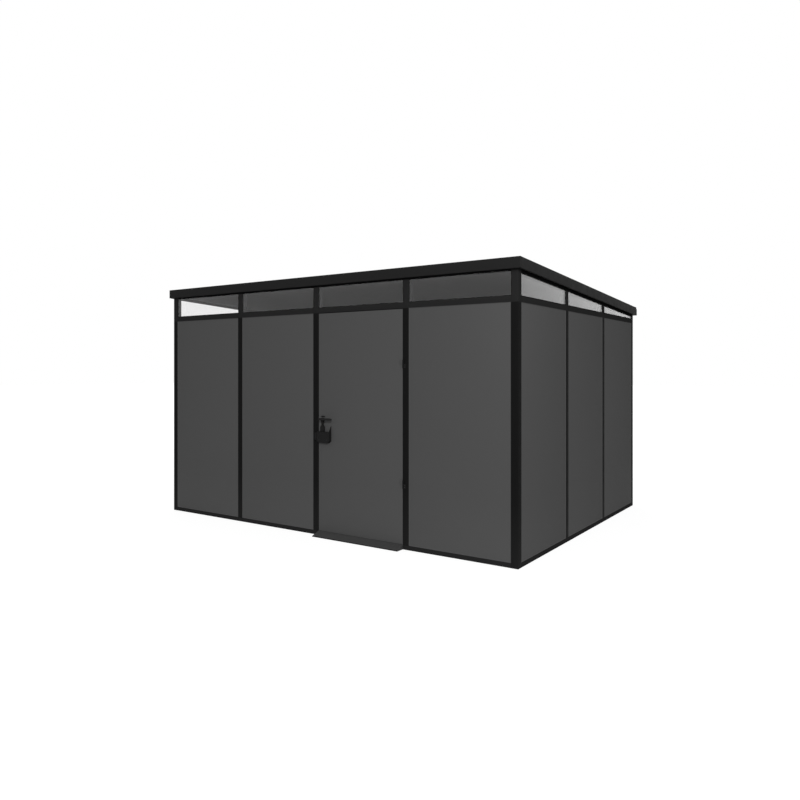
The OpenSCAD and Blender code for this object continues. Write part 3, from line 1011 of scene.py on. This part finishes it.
# %% Door leaf with its rebated lips
LATCH_LIP = 5 * MM
HINGE_LIP = 1 * MM
HEAD_LIP = 0.5 * MM
SWEEP = 3 * MM
LIP_T = 6 * MM
LEAF_EASE = 1 * MM
leaf_low, leaf_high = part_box("door_leaf")
core = oblong(leaf_low.x, leaf_high.x, leaf_low.z, leaf_high.z)
lip_x = leaf_low.x - LATCH_LIP, leaf_high.x + HINGE_LIP
lips = oblong(*lip_x, leaf_low.z - SWEEP, leaf_high.z + HEAD_LIP)
lip_back = leaf_low.y + LIP_T
rings = [ring(inset(core, LEAF_EASE), "y", leaf_high.y), ring(core, "y", leaf_high.y - LEAF_EASE)]
rings += [ring(core, "y", lip_back), ring(lips, "y", lip_back)]
rings += [ring(inset(lips, d), "y", y) for d, y in eased(lip_back, leaf_low.y, PANEL_EASE)[1:]]
bm = bmesh.new()
loft(bm, rings)
piece("dressed_door_leaf", bm, [panel_sheet], "door", "panel", "door_leaf")

# %% Stops with seals
STOP_W = 15 * MM
STOP_ARRIS = 1 * MM
SEAL_R = 3 * MM
SEAL_SIDES = 8
stop_low, stop_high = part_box("door_stops")


def half_round(u, v):
    """Outline of a half-round seal whose flat lies at v and whose back faces lower v."""
    turns = [math.pi * i / SEAL_SIDES for i in range(SEAL_SIDES + 1)]
    return [(u + SEAL_R * math.cos(a), v - SEAL_R * math.sin(a)) for a in turns]


bm = bmesh.new()
upright = stop_low.z, stop_high.z - STOP_W
for x in (stop_low.x, stop_high.x - STOP_W):
    strip = oblong(x, x + STOP_W, stop_low.y, stop_high.y)
    bar(bm, rounded(strip, STOP_ARRIS, 2), "z", *upright)
    bar(bm, half_round(x + STOP_W / 2, stop_low.y), "z", *upright, 1)
strip = oblong(stop_low.y, stop_high.y, stop_high.z - STOP_W, stop_high.z)
bar(bm, rounded(strip, STOP_ARRIS, 2), "x", stop_low.x, stop_high.x)
seal = [(v, u) for u, v in half_round(stop_high.z - STOP_W / 2, stop_low.y)]
bar(bm, seal, "x", stop_low.x, stop_high.x, 1)
piece("sealed_door_stops", bm, [frame_paint, rubber], "house", "rail", "door_stops")

# %% [markdown]
# ## Hinges
# Lift-off hinges: the lower half with its pin is screwed to the face of the post. The upper half
# drops over the pin and is screwed to the door, and its flat wing is painted with the door. A
# knuckle is a tube, so it is the same closed run of rings that makes a frame, only round a circle.
# The plates are bars on a bent outline.

# %% Hinge measures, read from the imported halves
KNUCKLE_SHARE = 0.75
HALF_GAP = 0.3 * MM
PIN_R = 3.5 * MM
PIN_CLEAR = 0.05 * MM
PIN_TIP = 1 * MM
PIN_HALVES = 1.5
PLATE_T = 3 * MM
WING_T = 2.5 * MM
PLATE_ARRIS = 0.6 * MM
KNUCKLE_EASE = 0.8 * MM
pins_low, pins_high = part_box("hinge_pins")
halves_low, halves_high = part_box("door_hinges")
swing = next(joint for joint in frame["joints"] if joint["name"] == "door_swing")
hinge_x, hinge_y = swing["pos_m"][:2]
knuckle_r = KNUCKLE_SHARE * (hinge_y - halves_low.y)
half_h = halves_low.z - pins_low.z - HALF_GAP
hinge_feet = [pins_low.z, halves_high.z - 2 * half_h - HALF_GAP]
plate_w = pins_high.x - hinge_x
plate_face = south - PLATE_T
print(f"hinge halves {half_h / MM:.1f} mm high, knuckles {2 * knuckle_r / MM:.0f} mm across")


# %% Hinge halves
KNUCKLE_SIDES = 24
SCREW_SHARES = (0.25, 0.75)
HINGE_SCREW_R = 3 * MM
POST_SCREWS_AT = 0.65


def knuckle(bm, low, high, bore, finish=0):
    """A tube round the hinge's axis with eased rims."""
    wall_t = knuckle_r - bore
    rim = [(0, low + KNUCKLE_EASE), (KNUCKLE_EASE, low), (wall_t, low), (wall_t, high)]
    rim += [(KNUCKLE_EASE, high), (0, high - KNUCKLE_EASE)]
    moulding(bm, circle(hinge_x, hinge_y, knuckle_r, KNUCKLE_SIDES), rim, "z", finish)


def plate_screws(bm, x, low, finish):
    """Two screws, one above the other, in a hinge plate."""
    for share in SCREW_SHARES:
        place = (x, plate_face, low + share * half_h)
        screw(bm, place, "y", -1, HINGE_SCREW_R, finish)


lower, upper = bmesh.new(), bmesh.new()
wing_x = hinge_x - knuckle_r / 2
wing_back = plate_face + WING_T
wing = [(wing_x, plate_face), (wing_x, wing_back), (leaf_high.x, wing_back)]
wing += [(leaf_high.x, leaf_low.y), (halves_low.x, leaf_low.y), (halves_low.x, plate_face)]
flange = oblong(hinge_x, hinge_x + plate_w, plate_face, south)
for foot in hinge_feet:
    knuckle(lower, foot, foot + half_h, PIN_R)
    pin_top = foot + PIN_HALVES * half_h
    pin = [(0, foot), (0, pin_top), (PIN_TIP, pin_top + PIN_TIP)]
    plate(lower, circle(hinge_x, hinge_y, PIN_R, KNUCKLE_SIDES), pin, "z", 1)
    bar(lower, rounded(flange, PLATE_ARRIS, 2), "z", foot, foot + half_h)
    plate_screws(lower, hinge_x + POST_SCREWS_AT * plate_w, foot, 1)
    middle = foot + half_h + HALF_GAP
    knuckle(upper, middle, middle + half_h, PIN_R + PIN_CLEAR, 1)
    bar(upper, rounded(wing, PLATE_ARRIS, 2), "z", middle, middle + half_h)
    plate_screws(upper, (halves_low.x + leaf_high.x) / 2, middle, 0)
piece("pinned_hinge_halves", lower, [lock_paint, steel], "house", "lock", "hinge_pins")
piece("hinge_halves_on_door", upper, [panel_sheet, lock_paint], "door", "lock", "door_hinges")

# %% [markdown]
# ## Rose and lock case
# The rose under the lever narrows to a waist and widens again into the lock case, a pressed steel
# box whose cut corners keep it from catching on sleeves. A thin cheek runs from the box up to the
# door. Outlines with rounded corners make these plates, and their fronts are eased like a pressing.

# %% Lever rose, narrow at the waist; across and up from the lever, in millimetres
WAIST = ((17, 7), (17, -13), (5, -50), (21, -72))
PRESSING_EASE = 2 * MM
ROSE_CORNER = 6 * MM
ROSE_STEPS = 5
turn = next(joint for joint in frame["joints"] if joint["name"] == "lever_turn")
lever_at = Vector(turn["pos_m"])
rose_low, rose_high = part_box("lever_rose")
case_low, case_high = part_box("lock_case")
case_top = rose_low.z
half_rose = [(x * MM, z * MM) for x, z in WAIST]
half_rose.append((half_rose[-1][0], case_top - lever_at.z))
rose = [(lever_at.x + x, lever_at.z + z) for x, z in half_rose]
rose += [(lever_at.x - x, lever_at.z + z) for x, z in reversed(half_rose)]
bm = bmesh.new()
plate(bm, rose, eased(rose_high.y, rose_low.y, PRESSING_EASE), "y", 0, ROSE_CORNER, ROSE_STEPS)
print(f"rose {2 * WAIST[2][0]} mm wide at the waist")

# %% Keyhole cover above the lever, part of the rose; the dome is a share and a rise
COVER_H = 13 * MM
COVER_W = 50 * MM
COVER_SIDES = 40
COVER_DOME = ((1, 0), (1, 2), (0.96, 3.6), (0.85, 4.9), (0.6, 5.7), (0.2, 6))
COVER_SCREW_R = 3 * MM
COVER_SCREW_OUT = 15 * MM
COVER_SCREW_UP = 4 * MM
cover_z = rose_high.z - COVER_H / 2
turns = [2 * math.pi * i / COVER_SIDES for i in range(COVER_SIDES)]
cover = [(COVER_W / 2 * math.cos(a), COVER_H / 2 * math.sin(a)) for a in turns]
rings = []
for share, up in COVER_DOME:
    edge = [(lever_at.x + share * u, cover_z + share * v) for u, v in cover]
    rings.append(ring(edge, "y", rose_high.y - up * MM))
loft(bm, rings)
screw_at = (lever_at.x - COVER_SCREW_OUT, rose_high.y - COVER_SCREW_UP, cover_z)
screw(bm, screw_at, "y", -1, COVER_SCREW_R, 1)
piece("waisted_rose", bm, [lock_paint, steel], "door", "lock", "lever_rose")

# %% Lock case with a sunk face
CASE_CUT = 18 * MM
CASE_CORNER = 2.5 * MM
CASE_SCREW_IN = 1.6 * CASE_CUT
CASE_SCREW_R = 3.5 * MM
FACE_RIM = 8 * MM
FACE_SUNK = 1.2 * MM
left, right, bottom = case_low.x, case_high.x, case_low.z
case = [(left, case_top), (left, bottom + CASE_CUT), (left + CASE_CUT, bottom)]
case += [(right - CASE_CUT, bottom), (right, bottom + CASE_CUT), (right, case_top)]
sunk = case_low.y + FACE_SUNK
section = eased(case_high.y, case_low.y, PRESSING_EASE)
section += [(FACE_RIM, case_low.y), (FACE_RIM + FACE_SUNK, sunk)]
bm = bmesh.new()
plate(bm, case, section, "y", 0, CASE_CORNER)
print(f"lock case {(right - left) / MM:.0f} mm wide")

# %% Cheek and screws of the lock case
CHEEK_T = 3 * MM
CHEEK_EASE = 0.6 * MM
CHEEK_CORNER = 0.8 * MM
CHEEK_SUNK = 2 * MM
CHEEK_BACK = 1 * MM
cheek_foot = case_top - CHEEK_SUNK
cheek_front = case_low.y + CHEEK_BACK
cheek_x = right - CHEEK_T / 2
slant = [(case_high.y, cheek_foot), (case_high.y, case_high.z)]
slant += [(cheek_front, case_top), (cheek_front, cheek_foot)]
sides = [(CHEEK_EASE, cheek_x - CHEEK_T / 2), (0, cheek_x - CHEEK_T / 4)]
sides += [(0, cheek_x + CHEEK_T / 4), (CHEEK_EASE, cheek_x + CHEEK_T / 2)]
plate(bm, slant, sides, "x", 0, CHEEK_CORNER, 2)
for x in (left + CASE_SCREW_IN, right - CASE_SCREW_IN):
    screw(bm, (x, sunk, bottom + CASE_SCREW_IN), "y", -1, CASE_SCREW_R, 1)
piece("cheeked_lock_case", bm, [lock_paint, steel], "door", "lock", "lock_case")

# %% Keeper on the post
KEEPER_EASE = 1.5 * MM
KEEPER_CORNER = 2 * MM
KEEPER_SCREWS = (0.22, 0.78)
keeper_low, keeper_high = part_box("lock_keeper")
bm = bmesh.new()
outline = oblong(keeper_low.x, keeper_high.x, keeper_low.z, keeper_high.z)
section = eased(keeper_high.y, keeper_low.y, KEEPER_EASE)
plate(bm, outline, section, "y", 0, KEEPER_CORNER)
middle = (keeper_low.x + keeper_high.x) / 2
for share in KEEPER_SCREWS:
    z = keeper_low.z + share * (keeper_high.z - keeper_low.z)
    screw(bm, (middle, keeper_low.y, z), "y", -1, CASE_SCREW_R)
piece("screwed_keeper", bm, [lock_paint], "house", "lock", "lock_keeper")

# %% [markdown]
# ## Lever
# The lever is a forging: a round hub, and a bar that grows flatter and higher towards its tip so
# that a hand finds its end. Rings of a rounded square, each with its own size and height, are
# lofted along the bar. The hub is a stack of circles, with a step for the spindle behind it.

# %% Hub and spindle
HUB_R = 9 * MM
HUB_SIDES = 32
HUB_STANDS_OFF = 2 * MM
HUB_EASE = 1 * MM
HUB_FACE = ((3, 0.4), (1, 1.2), (0, 3))
SPINDLE_R = 5 * MM
SPINDLE_IN = 1 * MM
lever_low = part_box("door_lever")[0]
hub_back = rose_low.y - HUB_STANDS_OFF
hub = [(d * MM, lever_low.y + back * MM) for d, back in HUB_FACE]
hub += [(0, hub_back - HUB_EASE), (HUB_EASE, hub_back), (HUB_R - SPINDLE_R, hub_back)]
hub += [(HUB_R - SPINDLE_R, rose_low.y + SPINDLE_IN)]
bm = bmesh.new()
plate(bm, circle(lever_at.x, lever_at.z, HUB_R, HUB_SIDES), hub, "y")
print(f"hub {2 * HUB_R / MM:.0f} mm across")

# %% Bar of the lever; stations along it, half height, half thickness and lift, in millimetres
STATIONS = (
    (-7, 5.5, 6, -1),
    (-5, 7.6, 8, -1),
    (20, 8.2, 8.6, -0.8),
    (70, 9, 8.6, 0.2),
    (105, 9.8, 8, 0.2),
    (126, 9.9, 7.4, 0),
    (135, 8.4, 6, -0.4),
    (138, 5, 3.4, -0.8),
)
BAR_ROUND = 0.55
rings = []
for along, half_z, half_y, lift in STATIONS:
    y, z = lever_at.y, lever_at.z + lift * MM
    outline = oblong(y - half_y * MM, y + half_y * MM, z - half_z * MM, z + half_z * MM)
    curved = rounded(outline, BAR_ROUND * half_z * MM, 4)
    rings.append(ring(curved, "x", lever_at.x + along * MM))
loft(bm, rings)
piece("forged_lever", bm, [lever_paint], "lever", "lever", "door_lever")
